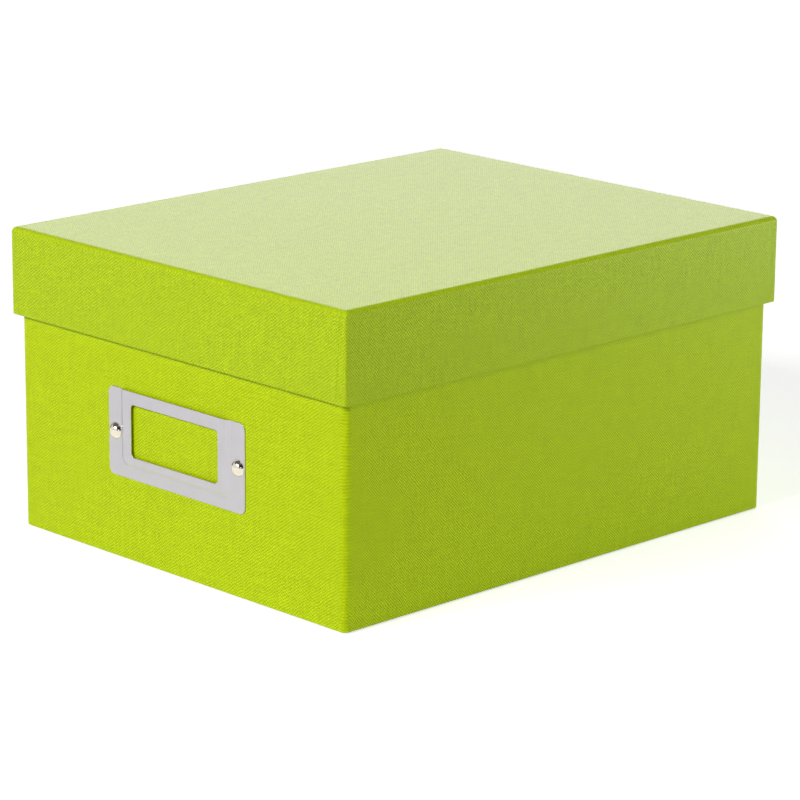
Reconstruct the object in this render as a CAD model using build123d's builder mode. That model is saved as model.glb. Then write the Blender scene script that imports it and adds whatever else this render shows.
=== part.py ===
from build123d import *
import os

# Photo storage box: a deep rigid base and a telescoping lift-off lid, both scored
# board trays held at the corners with paper stays, wrapped in embossed cover paper
# and lined. A pressed steel label holder is pinned to the front (-Y) end.
# Millimetres. +Z is up, X runs across the box, Y along it, and the origin is on the
# surface that the box stands on, under its middle.

# ---- overall, with the lid on -------------------------------------------------
lid_width = 200.0  # X, outside the cover paper
lid_length = 250.0  # Y, outside the cover paper
height = 128.0
lid_depth = 37.0  # outside height of the lid's skirt

# ---- sheet stock --------------------------------------------------------------
board = 1.5  # grey board of both trays
cover = 0.3  # embossed cover paper
lining = 0.2  # plain paper inside
stay_tape = 0.15  # gummed tape over the board's corners, pressed into the board

# ---- fits ---------------------------------------------------------------------
lid_clearance = 0.3  # lining of the lid to the cover of the base, on each side
butt_gap = 0.1  # between board walls that meet at a corner
lining_gap = 0.25  # round the floor lining, and between the wall lining's ends

# ---- edges of the trays, as radii on the board --------------------------------
base_corner = 2.6  # the base's four upright corners
foot_round = 0.25  # the base's lower edges
rim_round = 0.25  # the edges of both rims
roll_round = 1.9  # the lid's top edges, rolled over
lid_corner = 0.9  # the lid's upright corners

# ---- wraps and linings --------------------------------------------------------
base_turn_in = 20.0  # cover paper down the inside of the base
lid_turn_in = 18.0  # cover paper up the inside of the lid
turn_under = 15.0  # cover paper under the base
sheet_margin = 3.0  # bottom sheet short of the base's sides
lining_margin = 5.0  # linings stop this far from the rims
ear_top = 3.4  # lid wrap's folded ear on the short ends, at the top
ear_low = 5.6  # the same at the rim
ear_recess = 0.15  # the ear lies under the end flap's edge
seam_inset = 12.0  # the base wrap's joint on the back wall, from the left corner
seam_width = 0.3
seam_depth = 0.15
stay_leg = 12.0  # each leg of a corner stay
stay_margin = 3.0  # stays stop short of the tray's edges

# ---- label holder -------------------------------------------------------------
holder_height = 37.0
holder_low = 35.0  # its lower edge above the ground
holder_sheet = 0.5
holder_corner = 3.0
pocket_width = 62.4  # the raised face
pocket_raise = 1.0  # room for the card behind it
pocket_slope = 1.9  # run of its sloped sides
pocket_sill = 6.9  # raised face's lower edge above the holder's
pocket_corner = 2.0
crest_round = 1.5  # where the slopes meet the raised face
foot_bend = 0.3  # where they meet the flange
window_width = 52.5
window_height = 22.0
window_sill = 2.8  # window above the raised face's lower edge
window_corner = 1.9
edge_break = 0.12  # tumbled edge round the sheet and its window

# ---- split pins ---------------------------------------------------------------
pin_margin = 0.6  # from the heads to the holder's sides
pin_hole = 2.4
head_width = 7.0
head_rise = 2.2
leg_width = 2.0
leg_sheet = 0.4
leg_reach = 9.0  # each leg along the inside wall, from the pin's axis
leg_bend = 0.2  # inner radius of the bend

# ---- what follows from them ---------------------------------------------------
overhang = cover + board + cover + lining + lid_clearance
lid_x = lid_width / 2 - cover  # outside of the lid's board
lid_y = lid_length / 2 - cover
lid_top = height - cover
lid_low = height - lid_depth + cover
base_x = lid_width / 2 - overhang - cover  # outside of the base's board
base_y = lid_length / 2 - overhang - cover
base_low = 2 * cover  # the bottom sheet and the turned-under cover lie below it
rim = lid_top - board - lining  # top of the base's cover, which carries the lid
base_top = rim - cover
front = base_y + cover  # outside of the base's front wall
inner_front = base_y - board - lining
pocket_foot = pocket_width / 2 + pocket_slope + foot_bend
pin_x = pocket_foot + head_width / 2  # the heads lie just clear of the pocket
pin_z = holder_low + holder_height / 2
holder_width = 2 * (pocket_foot + head_width + pin_margin)

corners = {
    "front_left": (-1, -1),
    "front_right": (1, -1),
    "back_left": (-1, 1),
    "back_right": (1, 1),
}

os.makedirs("parts", exist_ok=True)


# ---- the two trays ------------------------------------------------------------
# Each tray's form can be grown by a skin of paper: the board is the tray grown by
# nothing, and a wrap is what a grown tray has round the board.
def base_tray(grow):
    with BuildPart() as tray:
        with BuildSketch(Plane.XY.offset(base_low - grow)):
            RectangleRounded(
                2 * (base_x + grow), 2 * (base_y + grow), base_corner + grow
            )
        extrude(amount=base_top - base_low + 2 * grow)
        fillet(tray.edges().group_by(Axis.Z)[0], foot_round + grow)
        with BuildSketch(Plane.XY.offset(base_low + board + grow)):
            Rectangle(2 * (base_x - board - grow), 2 * (base_y - board - grow))
        extrude(amount=base_top, mode=Mode.SUBTRACT)
        fillet(tray.edges().group_by(Axis.Z)[-1], rim_round + grow)
    return tray.part


def lid_tray(grow):
    with BuildPart() as tray:
        with BuildSketch(Plane.XY.offset(lid_low - grow)):
            Rectangle(2 * (lid_x + grow), 2 * (lid_y + grow))
        extrude(amount=lid_top - lid_low + 2 * grow)
        fillet(tray.edges().filter_by(Axis.Z), lid_corner + grow)
        fillet(tray.faces().sort_by(Axis.Z)[-1].edges(), roll_round + grow)
        with BuildSketch(Plane.XY.offset(lid_top - board - grow)):
            Rectangle(2 * (lid_x - board - grow), 2 * (lid_y - board - grow))
        extrude(amount=-lid_top, mode=Mode.SUBTRACT)
        fillet(tray.edges().group_by(Axis.Z)[0], rim_round + grow)
    return tray.part


# A corner stay is the outermost stay_tape of a tray's board round one corner.
def corner_stay(half_x, half_y, radius, low, high, side_x, side_y):
    with BuildPart() as stay:
        with BuildSketch(Plane.XY.offset(low)):
            RectangleRounded(2 * half_x, 2 * half_y, radius)
            RectangleRounded(
                2 * (half_x - stay_tape),
                2 * (half_y - stay_tape),
                radius - stay_tape,
                mode=Mode.SUBTRACT,
            )
            with Locations((side_x * half_x, side_y * half_y)):
                Rectangle(2 * stay_leg, 2 * stay_leg, mode=Mode.INTERSECT)
        extrude(amount=high - low)
    return stay.part


# A lining of four walls lies on the board from one end to the cover's turned-in
# edge, steps over that edge, and ends on the turned-in cover.
def wall_lining(half_x, half_y, board_end, step, free_end):
    toward = 1 if free_end > board_end else -1
    with BuildPart() as walls:
        with BuildSketch(Plane.XY.offset(board_end)):
            Rectangle(2 * half_x, 2 * half_y)
            offset(amount=-lining, kind=Kind.INTERSECTION, mode=Mode.SUBTRACT)
        extrude(amount=step - board_end)
        with BuildSketch(Plane.XY.offset(step - toward * lining)):
            Rectangle(2 * half_x, 2 * half_y)
            inner = (2 * (half_x - cover - lining), 2 * (half_y - cover - lining))
            Rectangle(*inner, mode=Mode.SUBTRACT)
        extrude(amount=toward * lining)
        with BuildSketch(Plane.XY.offset(step)):
            Rectangle(2 * (half_x - cover), 2 * (half_y - cover))
            Rectangle(*inner, mode=Mode.SUBTRACT)
        extrude(amount=free_end - step)
    return walls.part


base_form = base_tray(0)
lid_form = lid_tray(0)

# the split pins' bores, through the holder, the cover, the board and the lining
with BuildPart() as pin_bores:
    with BuildSketch(Plane.XZ.offset(inner_front - 1)):
        with Locations((-pin_x, pin_z), (pin_x, pin_z)):
            Circle(pin_hole / 2)
    extrude(amount=front + holder_sheet + 2 - inner_front)


# ---- base: corner stays -------------------------------------------------------
base_stays = {}
for corner, (side_x, side_y) in corners.items():
    stay = corner_stay(
        base_x,
        base_y,
        base_corner,
        base_low + stay_margin,
        base_top - stay_margin,
        side_x,
        side_y,
    )
    stay.label = "base_corner_stay_" + corner
    base_stays[corner] = stay

# ---- base: board --------------------------------------------------------------
# One scored blank: the end walls run the full width, and the side walls butt
# against them, so that the four walls join only at the floor.
with BuildPart() as base_board:
    add(base_form)
    for stay in base_stays.values():
        add(stay, mode=Mode.SUBTRACT)
    butt_height = base_top - base_low - board
    with BuildSketch(Plane.XY.offset(base_low + board)):
        for side_x, side_y in corners.values():
            with Locations(
                (side_x * base_x, side_y * (base_y - board - butt_gap / 2))
            ):
                Rectangle(2 * board, butt_gap)
    extrude(amount=butt_height, mode=Mode.SUBTRACT)
    add(pin_bores.part, mode=Mode.SUBTRACT)
base_board.part.label = "base_board"

# ---- base: cover paper --------------------------------------------------------
# It goes round the outside, over the rim and down the inside, and under the floor.
with BuildPart() as base_wrap:
    add(base_tray(cover))
    add(base_form, mode=Mode.SUBTRACT)
    with BuildSketch(Plane.XY.offset(base_low + board)):
        Rectangle(2 * (base_x - board), 2 * (base_y - board))
    extrude(amount=rim - base_turn_in - base_low - board, mode=Mode.SUBTRACT)
    under_x = base_x + cover - turn_under
    under_y = base_y + cover - turn_under
    with BuildSketch():
        Rectangle(2 * under_x, 2 * under_y)
    extrude(amount=base_low, mode=Mode.SUBTRACT)
    with BuildSketch(Plane.XY.offset(base_low + foot_round)):
        seam_x = -base_x - cover + seam_inset
        with Locations((seam_x, base_y + cover - seam_depth / 2)):
            Rectangle(seam_width, seam_depth)
    extrude(amount=base_top - rim_round - base_low - foot_round, mode=Mode.SUBTRACT)
    add(pin_bores.part, mode=Mode.SUBTRACT)
base_wrap.part.label = "base_wrap"

# ---- base: bottom sheet -------------------------------------------------------
# Its border covers the turned-under paper, and its middle steps up to the board.
with BuildPart() as base_bottom_sheet:
    with BuildSketch():
        Rectangle(
            2 * (base_x + cover - sheet_margin), 2 * (base_y + cover - sheet_margin)
        )
    extrude(amount=cover)
    with BuildSketch(Plane.XY.offset(cover)):
        Rectangle(2 * (under_x - lining_gap), 2 * (under_y - lining_gap))
    extrude(amount=cover)
    with BuildSketch():
        step = lining_gap + cover
        Rectangle(2 * (under_x - step), 2 * (under_y - step))
    extrude(amount=cover, mode=Mode.SUBTRACT)
base_bottom_sheet.part.label = "base_bottom_sheet"

# ---- base: linings ------------------------------------------------------------
base_inside_x = base_x - board
base_inside_y = base_y - board
base_floor = base_low + board
base_walls = wall_lining(
    base_inside_x, base_inside_y, base_floor, rim - base_turn_in, rim - lining_margin
)
with BuildPart() as base_wall_liner:
    add(base_walls)
    with BuildSketch(Plane.XY.offset(base_floor)):
        with Locations((-base_inside_x + seam_inset, base_inside_y)):
            Rectangle(lining_gap, 4 * (cover + lining))
    extrude(amount=rim - base_floor, mode=Mode.SUBTRACT)
    add(pin_bores.part, mode=Mode.SUBTRACT)
base_wall_liner.part.label = "base_wall_liner"

with BuildPart() as base_floor_liner:
    with BuildSketch(Plane.XY.offset(base_floor)):
        short = lining + lining_gap
        Rectangle(2 * (base_inside_x - short), 2 * (base_inside_y - short))
    extrude(amount=lining)
base_floor_liner.part.label = "base_floor_liner"

# ---- lid: corner stays --------------------------------------------------------
lid_stays = {}
for corner, (side_x, side_y) in corners.items():
    stay = corner_stay(
        lid_x,
        lid_y,
        lid_corner,
        lid_low + stay_margin,
        lid_top - stay_margin,
        side_x,
        side_y,
    )
    stay.label = "lid_corner_stay_" + corner
    lid_stays[corner] = stay

# ---- lid: board ---------------------------------------------------------------
with BuildPart() as lid_board:
    add(lid_form)
    for stay in lid_stays.values():
        add(stay, mode=Mode.SUBTRACT)
    with BuildSketch(Plane.XY.offset(lid_low)):
        for side_x, side_y in corners.values():
            with Locations((side_x * lid_x, side_y * (lid_y - board - butt_gap / 2))):
                Rectangle(2 * board, butt_gap)
    extrude(amount=lid_top - lid_low - board, mode=Mode.SUBTRACT)
lid_board.part.label = "lid_board"

# ---- lid: cover paper ---------------------------------------------------------
# The long sides' flaps fold round the upright corners as narrow ears, and the end
# flaps are pasted over them, so each ear lies a little below its end face.
with BuildPart() as lid_ears:
    with BuildSketch(Plane.XZ.offset(lid_length / 2 - ear_recess)):
        with BuildLine():
            Polyline(
                (lid_width / 2 - ear_top, height + 1),
                (lid_width / 2 - ear_top, height - roll_round - cover),
                (lid_width / 2 - ear_low, lid_low - cover - 1),
                (lid_width / 2 + 1, lid_low - cover - 1),
                (lid_width / 2 + 1, height + 1),
                close=True,
            )
        make_face()
    extrude(amount=2 * ear_recess)
    mirror(about=Plane.YZ)
    mirror(about=Plane.XZ)

with BuildPart() as lid_wrap:
    add(lid_tray(cover))
    add(lid_form, mode=Mode.SUBTRACT)
    with BuildSketch(Plane.XY.offset(lid_top - board)):
        Rectangle(2 * (lid_x - board), 2 * (lid_y - board))
    lid_turned = lid_low - cover + lid_turn_in
    extrude(amount=lid_turned - lid_top + board, mode=Mode.SUBTRACT)
    add(lid_ears.part, mode=Mode.SUBTRACT)
lid_wrap.part.label = "lid_wrap"

# ---- lid: lining --------------------------------------------------------------
lid_inside_x = lid_x - board
lid_inside_y = lid_y - board
lid_ceiling = lid_top - board
lid_walls = wall_lining(
    lid_inside_x, lid_inside_y, lid_ceiling, lid_turned, lid_low - cover + lining_margin
)
with BuildPart() as lid_liner:
    add(lid_walls)
    with BuildSketch(Plane.XY.offset(lid_ceiling)):
        Rectangle(2 * lid_inside_x, 2 * lid_inside_y)
    extrude(amount=-lining)
lid_liner.part.label = "lid_liner"


# ---- label holder -------------------------------------------------------------
# Pressed from one sheet: a flat flange with a raised pocket that is open at the
# top, where the card goes in, and a window through the pocket's face.
def pressed_pocket(back):
    sill = holder_low + pocket_sill
    tall = holder_height - pocket_sill + 2 * (pocket_corner + pocket_slope)
    with BuildPart() as press:
        with BuildSketch(Plane.XZ.offset(back)):
            with Locations((0, sill - pocket_slope)):
                RectangleRounded(
                    pocket_width + 2 * pocket_slope,
                    tall + pocket_slope,
                    pocket_corner + pocket_slope,
                    align=(Align.CENTER, Align.MIN),
                )
        with BuildSketch(Plane.XZ.offset(back + pocket_raise)):
            with Locations((0, sill)):
                RectangleRounded(
                    pocket_width,
                    tall - pocket_slope,
                    pocket_corner,
                    align=(Align.CENTER, Align.MIN),
                )
        loft()
    return press.part


with BuildPart() as label_holder:
    with BuildSketch(Plane.XZ.offset(front)):
        with Locations((0, pin_z)):
            Rectangle(2 * holder_width, 2 * holder_height)
    extrude(amount=holder_sheet)
    add(pressed_pocket(front + holder_sheet))
    raised, flat = label_holder.faces().filter_by(Axis.Y).sort_by(Axis.Y)[:2]
    fillet(raised.edges(), crest_round)
    fillet(flat.inner_wires().edges(), foot_bend)
    add(pressed_pocket(front), mode=Mode.SUBTRACT)
    with BuildSketch(Plane.XZ.offset(front)):
        with Locations((0, pin_z)):
            RectangleRounded(holder_width, holder_height, holder_corner)
    extrude(amount=holder_sheet + 2 * pocket_raise, mode=Mode.INTERSECT)
    with BuildSketch(Plane.XZ.offset(front)):
        window_z = holder_low + pocket_sill + window_sill + window_height / 2
        with Locations((0, window_z)):
            RectangleRounded(window_width, window_height, window_corner)
    extrude(amount=holder_sheet + 2 * pocket_raise, mode=Mode.SUBTRACT)
    faces = label_holder.faces().filter_by(Axis.Y).sort_by(Axis.Y)
    pocket_face, flange_face = faces[0], faces[2]
    foot_z = holder_low + pocket_sill - pocket_slope - foot_bend
    outline = flange_face.outer_wire().edges()
    outline = outline.filter_by(
        lambda edge: abs(edge.center().X) > pocket_foot or edge.center().Z < foot_z
    )
    fillet(outline + pocket_face.inner_wires().edges(), edge_break)
    add(pin_bores.part, mode=Mode.SUBTRACT)
label_holder.part.label = "label_holder"


# ---- split pins ---------------------------------------------------------------
# A domed head outside, and two legs that go through the wall together and are bent
# up and down flat against the lining.
def split_pin(x):
    seat = front + holder_sheet
    dome = (head_width**2 / 4 + head_rise**2) / (2 * head_rise)
    with BuildPart() as pin:
        with BuildSketch(Plane.YZ.offset(x)):
            with BuildLine():
                rim_point = (-seat, pin_z + head_width / 2)
                crown = (-seat - head_rise, pin_z)
                RadiusArc(rim_point, crown, -dome)
                Line(crown, (-seat, pin_z))
                Line((-seat, pin_z), rim_point)
            make_face()
        revolve(axis=Axis((x, 0, pin_z), (0, 1, 0)))
        with BuildSketch(Plane.YZ.offset(x)):
            with BuildLine():
                FilletPolyline(
                    (-seat, pin_z),
                    (-inner_front + leg_sheet, pin_z),
                    (-inner_front + leg_sheet, pin_z + leg_reach),
                    radius=leg_bend + leg_sheet,
                )
                offset(amount=leg_sheet, side=Side.LEFT)
            make_face()
        extrude(amount=leg_width / 2, both=True)
        mirror(about=Plane.XY.offset(pin_z))
    return pin.part


label_pin_left = split_pin(-pin_x)
label_pin_left.label = "label_pin_left"
label_pin_right = split_pin(pin_x)
label_pin_right.label = "label_pin_right"

# ---- files --------------------------------------------------------------------
pieces = [
    base_board.part,
    *base_stays.values(),
    base_wrap.part,
    base_bottom_sheet.part,
    base_wall_liner.part,
    base_floor_liner.part,
    lid_board.part,
    *lid_stays.values(),
    lid_wrap.part,
    lid_liner.part,
    label_holder.part,
    label_pin_left,
    label_pin_right,
]
for piece in pieces:
    export_step(piece, "parts/" + piece.label + ".step")
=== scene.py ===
import math
import bpy
from mathutils import Matrix, Vector

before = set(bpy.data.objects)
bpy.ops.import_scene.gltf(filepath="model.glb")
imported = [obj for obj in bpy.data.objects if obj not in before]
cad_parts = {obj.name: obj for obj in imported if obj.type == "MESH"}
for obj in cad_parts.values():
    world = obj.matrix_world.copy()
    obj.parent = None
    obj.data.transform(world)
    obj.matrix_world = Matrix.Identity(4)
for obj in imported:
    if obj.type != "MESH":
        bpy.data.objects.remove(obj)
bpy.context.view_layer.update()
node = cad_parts
bpy.context.scene.view_settings.view_transform = "Standard"


# ---- Boards of the base and the lid ------------------------------------------
# Each tray's walls and floor are one blank of grey board, 1.5 mm thick, scored and
# folded up. It is pressed from pulped waste paper, so it is dull and flecked.
def srgb(text):
    """A colour written as sRGB hex, turned to linear for a shader's socket."""
    parts = [int(text[i : i + 2], 16) / 255 for i in (1, 3, 5)]
    line = [c / 12.92 if c <= 0.04045 else ((c + 0.055) / 1.055) ** 2.4 for c in parts]
    return (*line, 1.0)


def add(tree, kind, settings=None, **links):
    """Adds a node. Settings are its properties, links its inputs by name or place."""
    made = tree.nodes.new(kind)
    for name, value in (settings or {}).items():
        setattr(made, name, value)
    for name, value in links.items():
        key = int(name[1:]) if name[0] == "i" and name[1:].isdigit() else None
        socket = made.inputs[key if key is not None else name.replace("_", " ")]
        if isinstance(value, bpy.types.NodeSocket):
            tree.links.new(value, socket)
        else:
            socket.default_value = value
    return made


def new_material(name):
    material = bpy.data.materials.new(name)
    material.use_nodes = True
    material.node_tree.nodes.clear()
    return material, material.node_tree


def finish_with(tree, shader):
    add(tree, "ShaderNodeOutputMaterial", Surface=shader.outputs[0])


def cover_with(material, *names):
    """Gives CAD nodes a material in place of the one they came with."""
    for name in names:
        node[name].data.materials.clear()
        node[name].data.materials.append(material)


def two_tones(tree, amount, start, end, first, last):
    """A colour that goes from the first at one amount to the last at another."""
    ramp = add(tree, "ShaderNodeValToRGB", Fac=amount)
    low, high = ramp.color_ramp.elements
    low.position, high.position = start, end
    low.color, high.color = srgb(first), srgb(last)
    return ramp.outputs["Color"]


MM = 0.001
FLECK = 1.5 * MM

grey_board, tree = new_material("grey_board_pressed")
place = add(tree, "ShaderNodeTexCoord").outputs["Object"]
fleck = add(tree, "ShaderNodeTexNoise", Vector=place, Scale=1 / FLECK, Detail=4.0)
fleck = fleck.outputs["Fac"]
rough = add(tree, "ShaderNodeBump", Height=fleck, Strength=0.5, Distance=0.1 * MM)
board_face = add(
    tree,
    "ShaderNodeBsdfPrincipled",
    Base_Color=two_tones(tree, fleck, 0.35, 0.65, "#7d776c", "#9b958a"),
    Normal=rough.outputs["Normal"],
    Roughness=0.9,
)
finish_with(tree, board_face)
cover_with(grey_board, "base_board", "lid_board")

# ---- Corner stays ------------------------------------------------------------
# Gummed kraft tape is wetted and rubbed down round each upright corner of a tray,
# and holds its walls together until the cover paper goes on over it.
KRAFT_FIBRE = 2 * MM

kraft, tree = new_material("kraft_tape_gummed")
place = add(tree, "ShaderNodeTexCoord").outputs["Object"]
fibre_place = add(tree, "ShaderNodeMapping", Vector=place, Scale=(1, 1, 6))
fibre = add(
    tree,
    "ShaderNodeTexNoise",
    Vector=fibre_place.outputs[0],
    Scale=1 / KRAFT_FIBRE,
    Detail=5.0,
)
tape_face = add(
    tree,
    "ShaderNodeBsdfPrincipled",
    Base_Color=two_tones(tree, fibre.outputs["Fac"], 0.3, 0.7, "#9a7447", "#b8915f"),
    Roughness=0.7,
)
finish_with(tree, tape_face)
cover_with(kraft, *[name for name in node if "corner_stay" in name])

# ---- Cover paper, on the base and the lid ------------------------------------
# Dyed paper, embossed between rollers with a fine linen weave. Threads pass over
# and under each other, and some swell for a few millimetres (slubs). The paper's
# colour has painted shade in the weave's hollows and painted light on its raised
# threads. The lid's colours are a little greyer and less saturated than the base's.
THREAD = 0.64 * MM  # from one thread to the next
SLUB = 9.0 * MM
LOOSE_FIBRE = 0.75 * MM  # real fibre is finer: this is as coarse as it needs to show
WANDER, SWAY = 4 * MM, 1.5 * MM  # how far threads run, and how far they then stray
END_STRETCH = 0.3  # the two ends have this much fewer threads across the box
BITE = (1.0, 0.7, 0.45)  # how deep the weave is on the long sides, ends and top
SLUB_SHARE, FIBRE_SHARE, WEAVE_SHARE = 0.35, 0.8, 0.95
DEEPEST, HIGHEST = -0.25, 1.6  # relief that takes the full painted shade and the full painted light
EMBOSS = 0.01 * MM


def reckon(tree, kind, operation, *values):
    """What a Math node, plain or "Vector", makes of its inputs, in their order."""
    inputs = {f"i{at}": value for at, value in enumerate(values)}
    made = add(tree, f"ShaderNode{kind}Math", {"operation": operation}, **inputs)
    return made.outputs["Value" if operation == "DOT_PRODUCT" else 0]


def linen_paper(name, light, shade, gloss):
    """One sheet of the cover paper, with painted light on its raised threads and
    painted shade between them.
    """
    paper, tree = new_material(name)
    place = add(tree, "ShaderNodeTexCoord").outputs["Object"]
    normal = add(tree, "ShaderNodeNewGeometry").outputs["True Normal"]
    facing = reckon(tree, "Vector", "ABSOLUTE", normal)
    endward, upward = add(tree, "ShaderNodeSeparateXYZ", Vector=facing).outputs[1:]
    # the threads wander a little from straight
    wander = add(tree, "ShaderNodeTexNoise", Vector=place, Scale=1 / WANDER)
    sway = (SWAY, SWAY, SWAY)
    bent = reckon(tree, "Vector", "MULTIPLY_ADD", wander.outputs["Color"], sway, place)
    # over and under: a wave along each of the face's two axes, multiplied
    turn = math.pi / THREAD
    fewer = (-END_STRETCH * turn, 0, 0)
    turns = reckon(tree, "Vector", "MULTIPLY_ADD", endward, fewer, (turn, turn, turn))
    phase = reckon(tree, "Vector", "MULTIPLY", bent, turns)
    wave = reckon(tree, "Vector", "SINE", phase)
    within = reckon(tree, "Vector", "SUBTRACT", (1, 1, 1), facing)
    crossing = reckon(tree, "Vector", "MULTIPLY_ADD", wave, within, facing)
    over = add(tree, "ShaderNodeSeparateXYZ", Vector=crossing).outputs
    weave = reckon(tree, "", "MULTIPLY", over[0], over[1])
    weave = reckon(tree, "", "MULTIPLY", weave, over[2])
    # it is deepest on the long sides, shallow on the handled top, and fades where
    # the sheet is bent round a corner
    square = reckon(tree, "Vector", "MULTIPLY", facing, facing)
    fourth = reckon(tree, "Vector", "MULTIPLY", square, square)
    bite = reckon(tree, "Vector", "DOT_PRODUCT", fourth, BITE)
    weave = reckon(tree, "", "MULTIPLY", weave, bite)
    # slubs: long, thin noise, level for the weft and upright for the warp
    parts = []
    for along, across in ((1 / SLUB, 1 / THREAD), (1 / THREAD, 1 / SLUB)):
        deep = add(
            tree, "ShaderNodeMapRange", Value=upward, To_Min=along, To_Max=across
        )
        stretch = add(
            tree, "ShaderNodeCombineXYZ", X=along, Y=deep.outputs[0], Z=across
        )
        drawn = reckon(tree, "Vector", "MULTIPLY", place, stretch.outputs[0])
        slubs = add(tree, "ShaderNodeTexNoise", Vector=drawn, Scale=1.0, Detail=0.0)
        parts.append((slubs.outputs["Fac"], SLUB_SHARE))
    fibre = add(
        tree, "ShaderNodeTexNoise", Vector=place, Scale=1 / LOOSE_FIBRE, Detail=0.0
    )
    parts += [(fibre.outputs["Fac"], FIBRE_SHARE), (weave, WEAVE_SHARE)]
    relief = 0.0
    for part, share in parts:
        relief = reckon(tree, "", "MULTIPLY_ADD", part, share, relief)
    emboss = add(tree, "ShaderNodeBump", Height=relief, Strength=1.0, Distance=EMBOSS)
    # painted light and shade: by the relief's height, the colour goes from the shade
    # colour in the weave's hollows to the light colour on its raised threads and slubs
    depth = add(
        tree, "ShaderNodeMapRange", Value=relief, From_Min=DEEPEST, From_Max=HIGHEST
    )
    painted_light_and_shade = add(
        tree,
        "ShaderNodeMix",
        {"data_type": "RGBA"},
        i0=depth.outputs[0],
        i6=srgb(shade),
        i7=srgb(light),
    )
    face = add(
        tree,
        "ShaderNodeBsdfPrincipled",
        Base_Color=painted_light_and_shade.outputs["Result"],
        Normal=emboss.outputs["Normal"],
        Roughness=0.4,
        Specular_IOR_Level=gloss,
    )
    finish_with(tree, face)
    return paper


# the first colour is the painted light on the raised threads, the second the painted
# shade in the hollows between them
base_paper = linen_paper("cover_paper_linen_base", "#e2ff0a", "#8ea400", gloss=0.14)
cover_with(base_paper, "base_wrap", "base_bottom_sheet")
# the lid's colours are a little greyer and less saturated than the base's, and its
# gloss a little higher
lid_paper = linen_paper("cover_paper_linen_lid", "#d8f81c", "#889d04", gloss=0.165)
cover_with(lid_paper, "lid_wrap")

# ---- Linings -----------------------------------------------------------------
# Plain uncoated paper, pasted inside both trays after the cover is turned in.
FELT, CLOUD = 0.8 * MM, 12 * MM

lining_paper, tree = new_material("lining_paper_plain")
place = add(tree, "ShaderNodeTexCoord").outputs["Object"]
felt = add(tree, "ShaderNodeTexNoise", Vector=place, Scale=1 / FELT, Detail=4.0)
cloudy = add(tree, "ShaderNodeTexNoise", Vector=place, Scale=1 / CLOUD, Detail=3.0)
white = add(
    tree,
    "ShaderNodeMix",
    {"data_type": "RGBA"},
    i0=cloudy.outputs["Fac"],
    i6=srgb("#e9e6de"),
    i7=srgb("#f4f2ec"),
)
felt_bump = add(
    tree, "ShaderNodeBump", Height=felt.outputs["Fac"], Strength=0.6, Distance=0.03 * MM
)
lining_face = add(
    tree,
    "ShaderNodeBsdfPrincipled",
    Base_Color=white.outputs["Result"],
    Normal=felt_bump.outputs["Normal"],
    Roughness=0.75,
    Specular_IOR_Level=0.3,
)
finish_with(tree, lining_face)
cover_with(lining_paper, "base_wall_liner", "base_floor_liner", "lid_liner")

# ---- Label holder ------------------------------------------------------------
# Stamped from 0.5 mm steel strip, tumbled and plated with nickel: a satin, faintly
# uneven grey that mirrors what is near it only as soft patches of light.
PATCH, ROLLED_GRAIN = 7 * MM, 1.2 * MM

satin_nickel, tree = new_material("steel_nickel_plated_satin")
place = add(tree, "ShaderNodeTexCoord").outputs["Object"]
patch = add(tree, "ShaderNodeTexNoise", Vector=place, Scale=1 / PATCH, Detail=3.0)
grain_place = add(tree, "ShaderNodeMapping", Vector=place, Scale=(1, 1, 10))
grain = add(
    tree,
    "ShaderNodeTexNoise",
    Vector=grain_place.outputs[0],
    Scale=1 / ROLLED_GRAIN,
    Detail=3.0,
)
metal_tone = add(
    tree,
    "ShaderNodeMix",
    {"data_type": "RGBA"},
    i0=patch.outputs["Fac"],
    i6=srgb("#bab8bd"),
    i7=srgb("#c4c2c8"),
)
satin = add(
    tree, "ShaderNodeMapRange", Value=grain.outputs["Fac"], To_Min=0.32, To_Max=0.42
)
wavy = add(
    tree, "ShaderNodeBump", Height=patch.outputs["Fac"], Strength=0.3, Distance=0.1 * MM
)
holder_face = add(
    tree,
    "ShaderNodeBsdfPrincipled",
    Base_Color=metal_tone.outputs["Result"],
    Roughness=satin.outputs[0],
    Normal=wavy.outputs["Normal"],
    Metallic=1.0,
)
finish_with(tree, holder_face)
cover_with(satin_nickel, "label_holder")

# ---- Split pins --------------------------------------------------------------
# Drawn steel heads plated with bright nickel. They are domed mirrors, a little
# warmer than the holder, and their legs show inside the base, bent over.
SCUFF = 0.7 * MM

bright_nickel, tree = new_material("steel_nickel_plated_bright")
place = add(tree, "ShaderNodeTexCoord").outputs["Object"]
scuff = add(tree, "ShaderNodeTexNoise", Vector=place, Scale=1 / SCUFF, Detail=3.0)
polish = add(
    tree, "ShaderNodeMapRange", Value=scuff.outputs["Fac"], To_Min=0.06, To_Max=0.14
)
pin_face = add(
    tree,
    "ShaderNodeBsdfPrincipled",
    Base_Color=srgb("#e0d8cc"),
    Roughness=polish.outputs[0],
    Metallic=1.0,
)
finish_with(tree, pin_face)
cover_with(bright_nickel, "label_pin_left", "label_pin_right")

# ---- Floor and surroundings --------------------------------------------------
# A seamless pale sweep of studio paper, lit evenly, so that it and the backdrop
# read as white, with a soft shadow where the box stands.
FLOOR = 8.0
FLOOR_DROP = 0.2 * MM  # keeps the sweep clear of the box's bottom sheet
FLOOR_GLOW = 0.63

floor_mesh = bpy.data.meshes.new("studio_floor")
floor_mesh.from_pydata(
    [(-FLOOR, -FLOOR, 0), (FLOOR, -FLOOR, 0), (FLOOR, FLOOR, 0), (-FLOOR, FLOOR, 0)],
    [],
    [(0, 1, 2, 3)],
)
floor = bpy.data.objects.new("studio_floor", floor_mesh)
bpy.context.scene.collection.objects.link(floor)
floor.location.z = -FLOOR_DROP


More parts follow.
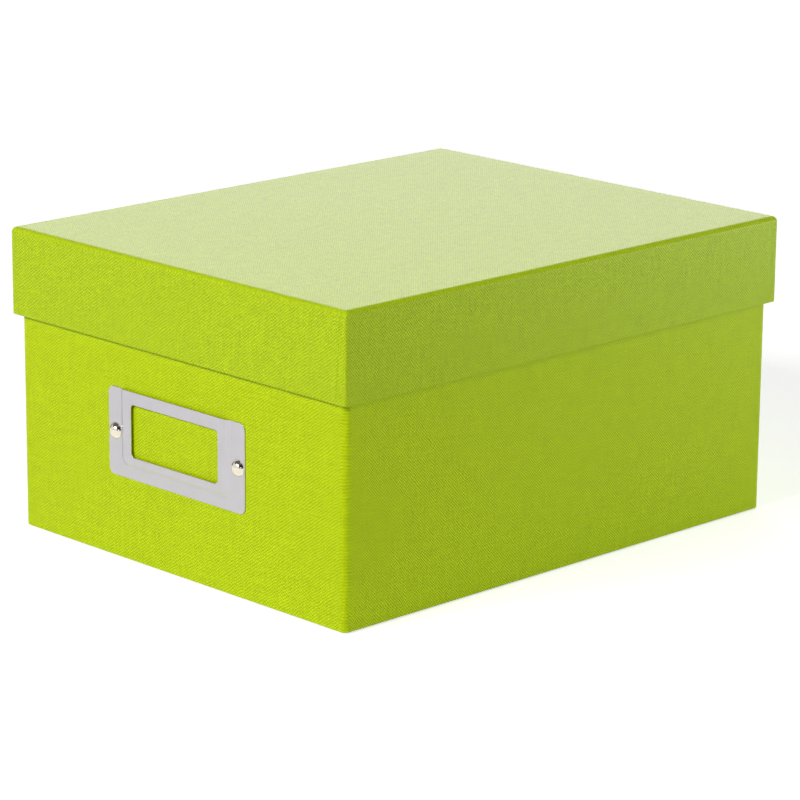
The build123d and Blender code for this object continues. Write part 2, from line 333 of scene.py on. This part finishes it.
def seen_rays(tree):
    """1 for what the camera sees, itself or in metal, and 0 for light it gives."""
    rays = add(tree, "ShaderNodeLightPath").outputs
    seen = rays["Is Camera Ray"]
    for kind in ("Is Glossy Ray", "Is Transmission Ray"):
        seen = reckon(tree, "", "MAXIMUM", seen, rays[kind])
    return seen


sweep, tree = new_material("studio_paper_white")
glow = reckon(tree, "", "MULTIPLY", seen_rays(tree), FLOOR_GLOW)
paper_floor = add(tree, "ShaderNodeBsdfDiffuse", Color=(0.8, 0.8, 0.8, 1))
paper_glow = add(tree, "ShaderNodeEmission", Strength=glow)
both = add(
    tree, "ShaderNodeAddShader", i0=paper_floor.outputs[0], i1=paper_glow.outputs[0]
)
finish_with(tree, both)
floor.data.materials.append(sweep)

# The room: a backdrop of strength 1 all round, a dimmer ceiling, and two dark
# places, behind the camera and away to the left, that bright metal mirrors.
CEILING_FROM, CEILING_TO, CEILING = 0.36, 0.62, 0.15  # two heights and its strength
DARK_PLACES = (((0.74, -0.58, 0.34), 0.88), ((-0.99, 0.1, 0.06), 0.90))
DARK, DARK_EDGE = 0.05, 0.05  # their strength, and how soft they end
ROOM_LIGHT = 0.2  # how much of its strength the room lends the box as light

room = bpy.data.worlds.new("studio_room")
bpy.context.scene.world = room
room.use_nodes = True
tree = room.node_tree
tree.nodes.clear()
towards = add(tree, "ShaderNodeTexCoord").outputs["Generated"]
level = add(
    tree,
    "ShaderNodeMapRange",
    {"interpolation_type": "SMOOTHSTEP"},
    Value=add(tree, "ShaderNodeSeparateXYZ", Vector=towards).outputs["Z"],
    From_Min=CEILING_FROM,
    From_Max=CEILING_TO,
    To_Min=1.0,
    To_Max=CEILING,
).outputs[0]
for way, wide in DARK_PLACES:
    way = Vector(way).normalized()
    dark = add(
        tree,
        "ShaderNodeMapRange",
        {"interpolation_type": "SMOOTHSTEP"},
        Value=reckon(tree, "Vector", "DOT_PRODUCT", towards, way),
        From_Min=wide,
        From_Max=wide + DARK_EDGE,
        To_Min=1.0,
        To_Max=DARK,
    )
    level = reckon(tree, "", "MULTIPLY", level, dark.outputs[0])
lit = add(tree, "ShaderNodeMapRange", Value=seen_rays(tree), To_Min=ROOM_LIGHT)
level = reckon(tree, "", "MULTIPLY", level, lit.outputs[0])
straight = add(tree, "ShaderNodeLightPath").outputs["Is Camera Ray"]
level = reckon(tree, "", "MAXIMUM", level, straight)
air = add(tree, "ShaderNodeBackground", Color=(1, 1, 1, 1), Strength=level)
add(tree, "ShaderNodeOutputWorld", Surface=air.outputs[0])

# Broad soft lights: one before the end with the label, weaker ones from the front,
# the side, above and low behind, and a wide one that makes the backdrop bright.
BOX = (0, 0, 0.06)
LONG_SIDE = (0.1, 0.05, 0.06)


def soft_light(name, at, size, power, colour, towards=BOX):
    """A rectangular lamp that the camera doesn't see: metres, watts and a tint."""
    lamp = bpy.data.lights.new(name, "AREA")
    lamp.shape = "RECTANGLE"
    lamp.size, lamp.size_y = size
    lamp.energy = power
    lamp.color = colour
    holder = bpy.data.objects.new(name, lamp)
    bpy.context.scene.collection.objects.link(holder)
    holder.location = at
    turn = (Vector(towards) - Vector(at)).to_track_quat("-Z", "Y")
    holder.rotation_euler = turn.to_euler()
    holder.visible_camera = False


soft_light("key_light", (-0.11, -1.95, 1.35), (1.0, 0.36), 34, (1, 0.955, 0.93))
soft_light("front_light", (1.5, -1.55, 0.4), (0.5, 0.3), 1.2, (0.95, 1, 0.92))
soft_light("side_light", (1.08, -0.2, 1.12), (0.4, 0.24), 3.3, (0.95, 1, 0.95))
soft_light("overhead_light", (0.35, -0.25, 1.5), (0.5, 0.5), 0.9, (1, 0.9, 1))
soft_light("low_light", (0.62, 0.8, 0.07), (0.3, 0.14), 2.3, (0.94, 1, 0.95), LONG_SIDE)
soft_light("backdrop_light", (-2.2, 2.1, 0.8), (4.0, 1.6), 50, (1, 0.97, 1))

# ---- Camera ------------------------------------------------------------------
# It stands off the box's near corner and looks slightly down, through a long lens.
CAMERA_AT = (1.03054, -1.01035, 0.44398)
AZIMUTH, ELEVATION, ROLL = 0.79443, 0.26586, 0.00847
FOCAL_PIXELS, FRAME_PIXELS, SENSOR_MM = 3556.8, 800, 36.0

camera_data = bpy.data.cameras.new("camera")
camera_data.sensor_fit = "HORIZONTAL"
camera_data.sensor_width = SENSOR_MM
camera_data.lens = FOCAL_PIXELS / FRAME_PIXELS * SENSOR_MM
camera_data.clip_start, camera_data.clip_end = 0.05, 50.0
camera = bpy.data.objects.new("camera", camera_data)
bpy.context.scene.collection.objects.link(camera)
back = Vector(
    (
        math.sin(AZIMUTH) * math.cos(ELEVATION),
        -math.cos(AZIMUTH) * math.cos(ELEVATION),
        math.sin(ELEVATION),
    )
)
right = Vector((math.cos(AZIMUTH), math.sin(AZIMUTH), 0))
up = back.cross(right)
turned_right = math.cos(ROLL) * right + math.sin(ROLL) * up
turned_up = math.cos(ROLL) * up - math.sin(ROLL) * right
turn = Matrix((turned_right, turned_up, back)).transposed().to_4x4()
camera.matrix_world = Matrix.Translation(CAMERA_AT) @ turn
bpy.context.scene.camera = camera
